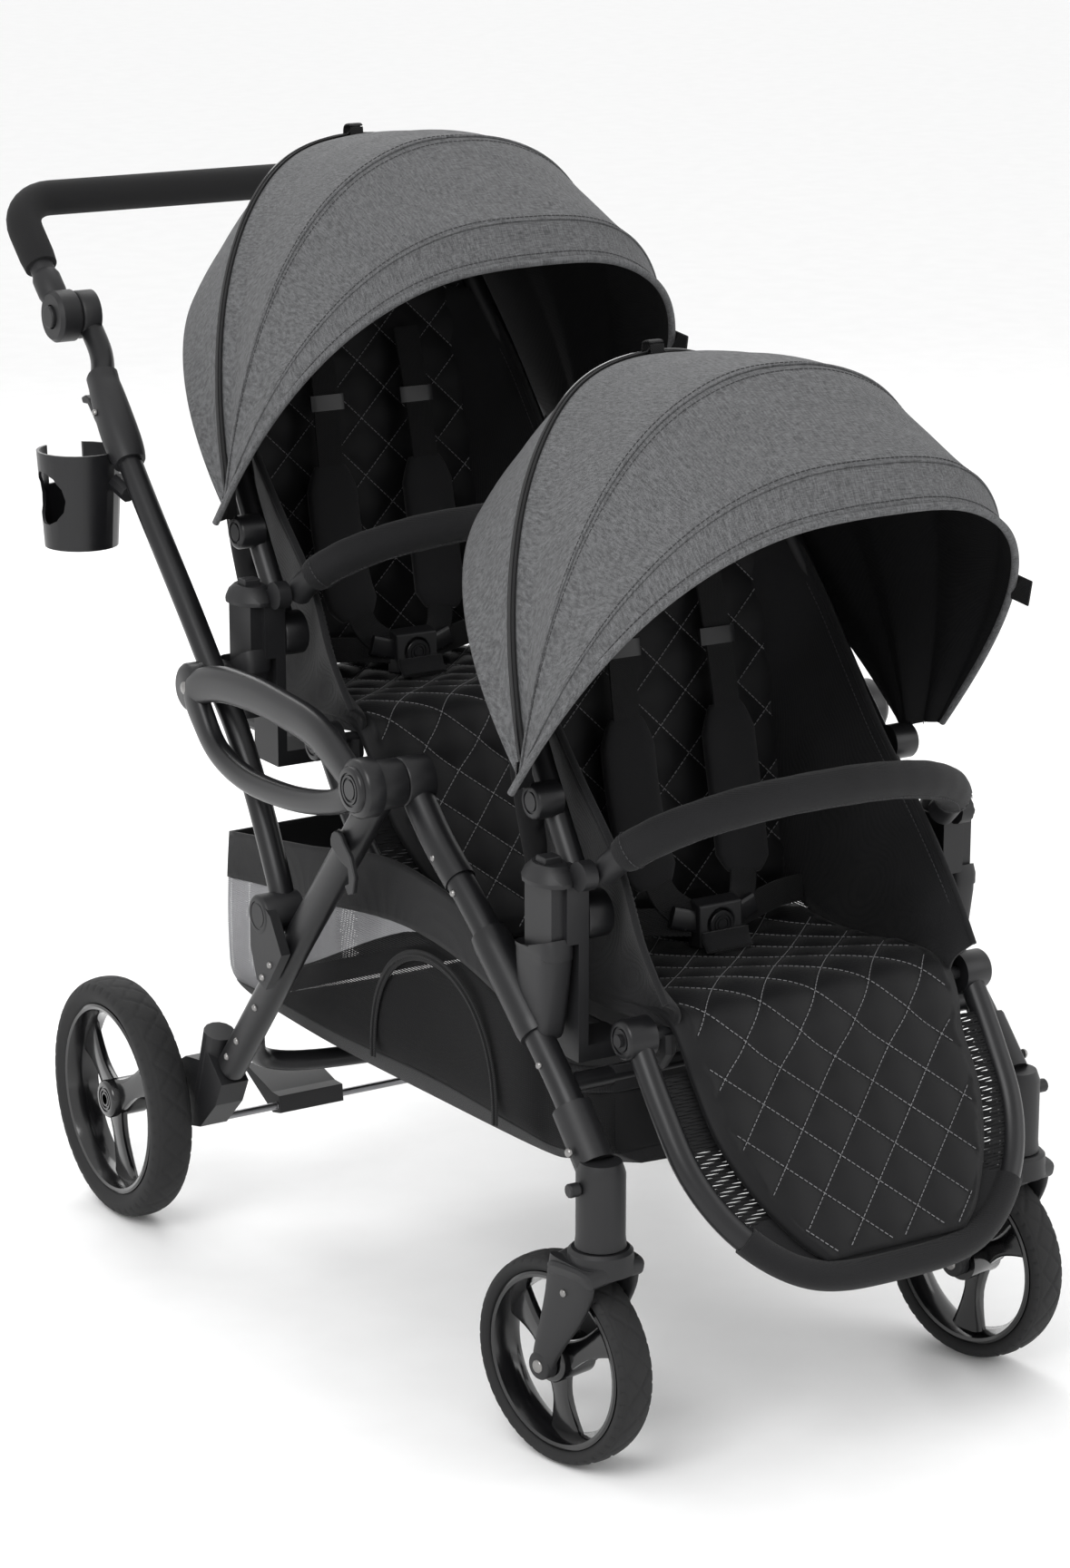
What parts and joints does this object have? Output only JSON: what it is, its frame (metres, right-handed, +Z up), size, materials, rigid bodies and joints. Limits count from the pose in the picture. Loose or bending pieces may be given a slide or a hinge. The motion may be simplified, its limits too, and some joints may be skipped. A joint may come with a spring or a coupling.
{
  "type": "tandem double stroller",
  "caption": "Black tandem double stroller with grey canopies, two raised seats facing forward, swivel casters, tilting push handle, cup holder and a mesh basket.",
  "frame": {"origin": "on the ground under the centre of the bounding box", "axes": "+Z up, the stroller faces -Y, its right side is -X, X is across the two wheels of an axle"},
  "size_m": [0.658, 1.2681, 1.1289],
  "materials": {
    "tube": "satin black powder coat",
    "plastic": "moulded black, fine grain",
    "rim_plastic": "gloss black",
    "tyre": "matte black",
    "foam": "matte black foam",
    "steel": "zinc plated",
    "seat_fabric": "black woven polyester",
    "canopy_fabric": "grey melange weave",
    "mesh_fabric": "black open mesh"
  },
  "bodies": {
    "chassis": {"front_frame": "tube", "side_arm_right": "plastic", "side_arm_left": "plastic", "push_tube_right": "tube", "push_tube_left": "tube", "seat_socket_front_right": "plastic", "seat_socket_front_left": "plastic", "seat_socket_rear_right": "plastic", "seat_socket_rear_left": "plastic", "caster_housing_right": "plastic", "caster_housing_left": "plastic", "cup_holder": "plastic", "storage_basket": "mesh_fabric"},
    "rear_legs": {"rear_frame": "tube", "axle_bracket_right": "plastic", "axle_bracket_left": "plastic"},
    "brake": {"brake_pedal": "steel"},
    "latch": {"storage_latch": "plastic"},
    "handle_bar": {"handle": "foam"},
    "rear_wheel_right": {"rear_tyre_right": "tyre", "rear_rim_right": "rim_plastic"},
    "caster_right": {"caster_fork_right": "plastic"},
    "front_wheel_right": {"front_tyre_right": "tyre", "front_rim_right": "rim_plastic"},
    "swivel_knob_right": {"swivel_lock_right": "plastic"},
    "handle_push_right": {"handle_button_right": "plastic"},
    "trigger_right": {"fold_trigger_right": "plastic"},
    "rear_wheel_left": {"rear_tyre_left": "tyre", "rear_rim_left": "rim_plastic"},
    "caster_left": {"caster_fork_left": "plastic"},
    "front_wheel_left": {"front_tyre_left": "tyre", "front_rim_left": "rim_plastic"},
    "swivel_knob_left": {"swivel_lock_left": "plastic"},
    "handle_push_left": {"handle_button_left": "plastic"},
    "trigger_left": {"fold_trigger_left": "plastic"},
    "front_seat": {"front_seat_frame": "tube", "front_seat_pad": "seat_fabric", "front_buckle": "plastic"},
    "front_back": {"front_seat_back": "seat_fabric", "front_canopy_rear": "canopy_fabric"},
    "front_hood": {"front_canopy_hood": "canopy_fabric"},
    "front_leg_support": {"front_footrest": "tube", "front_legrest_pad": "seat_fabric"},
    "front_bumper": {"front_bumper_bar": "foam"},
    "front_buckle_push": {"front_buckle_button": "plastic"},
    "front_release_right": {"front_seat_release_right": "plastic"},
    "front_release_left": {"front_seat_release_left": "plastic"},
    "rear_seat": {"rear_seat_frame": "tube", "rear_seat_pad": "seat_fabric", "rear_buckle": "plastic"},
    "rear_back": {"rear_seat_back": "seat_fabric", "rear_canopy_rear": "canopy_fabric"},
    "rear_hood": {"rear_canopy_hood": "canopy_fabric"},
    "rear_leg_support": {"rear_footrest": "tube", "rear_legrest_pad": "seat_fabric"},
    "rear_bumper": {"rear_bumper_bar": "foam"},
    "rear_buckle_push": {"rear_buckle_button": "plastic"},
    "rear_release_right": {"rear_seat_release_right": "plastic"},
    "rear_release_left": {"rear_seat_release_left": "plastic"}
  },
  "joints": [
    {"name": "frame_fold", "type": "hinge", "parent": "chassis", "child": "rear_legs", "pos_m": [0, -0.166, 0.573], "axis": [-1, 0, 0], "range_deg": [0, 48]},
    {"name": "brake_press", "type": "hinge", "parent": "rear_legs", "child": "brake", "pos_m": [0, 0.196, 0.132], "axis": [-1, 0, 0], "range_deg": [0, 15]},
    {"name": "latch_turn", "type": "hinge", "parent": "rear_legs", "child": "latch", "pos_m": [-0.279, -0.106, 0.503], "axis": [-1, 0, 0], "range_deg": [0, 40]},
    {"name": "handle_tilt", "type": "hinge", "parent": "chassis", "child": "handle_bar", "pos_m": [0, 0.503, 0.92], "axis": [-1, 0, 0], "range_deg": [-40, 30]},
    {"name": "rear_wheel_spin_right", "type": "hinge", "parent": "rear_legs", "child": "rear_wheel_right", "pos_m": [-0.3065, 0.32, 0.127], "axis": [1, 0, 0], "continuous": true},
    {"name": "caster_swivel_right", "type": "hinge", "parent": "chassis", "child": "caster_right", "pos_m": [-0.232, -0.492, 0.22], "axis": [0, 0, 1], "continuous": true},
    {"name": "front_wheel_spin_right", "type": "hinge", "parent": "caster_right", "child": "front_wheel_right", "pos_m": [-0.24078, -0.44684, 0.099], "axis": [0.9816, 0.1908, 0], "continuous": true},
    {"name": "swivel_lock_pull_right", "type": "slide", "parent": "chassis", "child": "swivel_knob_right", "axis": [-1, 0, 0], "range_m": [0, 0.004], "stiffness_N_per_m": 300},
    {"name": "handle_button_press_right", "type": "slide", "parent": "handle_bar", "child": "handle_push_right", "axis": [1, 0, 0], "range_m": [0, 0.003], "stiffness_N_per_m": 300},
    {"name": "trigger_pull_right", "type": "slide", "parent": "chassis", "child": "trigger_right", "axis": [0, 0.7268, 0.6868], "range_m": [0, 0.008], "stiffness_N_per_m": 300},
    {"name": "rear_wheel_spin_left", "type": "hinge", "parent": "rear_legs", "child": "rear_wheel_left", "pos_m": [0.3065, 0.32, 0.127], "axis": [1, 0, 0], "continuous": true},
    {"name": "caster_swivel_left", "type": "hinge", "parent": "chassis", "child": "caster_left", "pos_m": [0.232, -0.492, 0.22], "axis": [0, 0, 1], "continuous": true},
    {"name": "front_wheel_spin_left", "type": "hinge", "parent": "caster_left", "child": "front_wheel_left", "pos_m": [0.22322, -0.44684, 0.099], "axis": [0.9816, 0.1908, 0], "continuous": true},
    {"name": "swivel_lock_pull_left", "type": "slide", "parent": "chassis", "child": "swivel_knob_left", "axis": [1, 0, 0], "range_m": [0, 0.004], "stiffness_N_per_m": 300},
    {"name": "handle_button_press_left", "type": "slide", "parent": "handle_bar", "child": "handle_push_left", "axis": [-1, 0, 0], "range_m": [0, 0.003], "stiffness_N_per_m": 300},
    {"name": "trigger_pull_left", "type": "slide", "parent": "chassis", "child": "trigger_left", "axis": [0, 0.7268, 0.6868], "range_m": [0, 0.008], "stiffness_N_per_m": 300},
    {"name": "front_seat_lift", "type": "slide", "parent": "chassis", "child": "front_seat", "axis": [0, 0, 1], "range_m": [0, 0.08]},
    {"name": "front_recline", "type": "hinge", "parent": "front_seat", "child": "front_back", "pos_m": [0, -0.395, 0.495], "axis": [-1, 0, 0], "range_deg": [0, 15]},
    {"name": "front_hood_fold", "type": "hinge", "parent": "front_back", "child": "front_hood", "pos_m": [0, -0.34, 0.59], "axis": [-1, 0, 0], "range_deg": [0, 54]},
    {"name": "front_leg_lift", "type": "hinge", "parent": "front_seat", "child": "front_leg_support", "pos_m": [0, -0.474, 0.401], "axis": [-1, 0, 0], "range_deg": [0, 50]},
    {"name": "front_bumper_swing", "type": "hinge", "parent": "front_seat", "child": "front_bumper", "pos_m": [0, -0.425, 0.542], "axis": [-1, 0, 0], "range_deg": [0, 45]},
    {"name": "front_buckle_press", "type": "slide", "parent": "front_seat", "child": "front_buckle_push", "axis": [0, 1, 0], "range_m": [0, 0.002], "stiffness_N_per_m": 300},
    {"name": "front_release_press_right", "type": "slide", "parent": "front_seat", "child": "front_release_right", "axis": [0, 0, -1], "range_m": [0, 0.002], "stiffness_N_per_m": 300},
    {"name": "front_release_press_left", "type": "slide", "parent": "front_seat", "child": "front_release_left", "axis": [0, 0, -1], "range_m": [0, 0.002], "stiffness_N_per_m": 300},
    {"name": "rear_seat_lift", "type": "slide", "parent": "chassis", "child": "rear_seat", "axis": [0, 0, 1], "range_m": [0, 0.08]},
    {"name": "rear_recline", "type": "hinge", "parent": "rear_seat", "child": "rear_back", "pos_m": [0, 0.1675, 0.6404], "axis": [-1, 0, 0], "range_deg": [0, 30]},
    {"name": "rear_hood_fold", "type": "hinge", "parent": "rear_back", "child": "rear_hood", "pos_m": [0, 0.2225, 0.7354], "axis": [-1, 0, 0], "range_deg": [0, 54]},
    {"name": "rear_leg_lift", "type": "hinge", "parent": "rear_seat", "child": "rear_leg_support", "pos_m": [0, 0.0885, 0.5464], "axis": [-1, 0, 0], "range_deg": [0, 20]},
    {"name": "rear_bumper_swing", "type": "hinge", "parent": "rear_seat", "child": "rear_bumper", "pos_m": [0, 0.1375, 0.6874], "axis": [-1, 0, 0], "range_deg": [0, 45]},
    {"name": "rear_buckle_press", "type": "slide", "parent": "rear_seat", "child": "rear_buckle_push", "axis": [0, 1, 0], "range_m": [0, 0.002], "stiffness_N_per_m": 300},
    {"name": "rear_release_press_right", "type": "slide", "parent": "rear_seat", "child": "rear_release_right", "axis": [0, 0, -1], "range_m": [0, 0.002], "stiffness_N_per_m": 300},
    {"name": "rear_release_press_left", "type": "slide", "parent": "rear_seat", "child": "rear_release_left", "axis": [0, 0, -1], "range_m": [0, 0.002], "stiffness_N_per_m": 300}
  ]
}
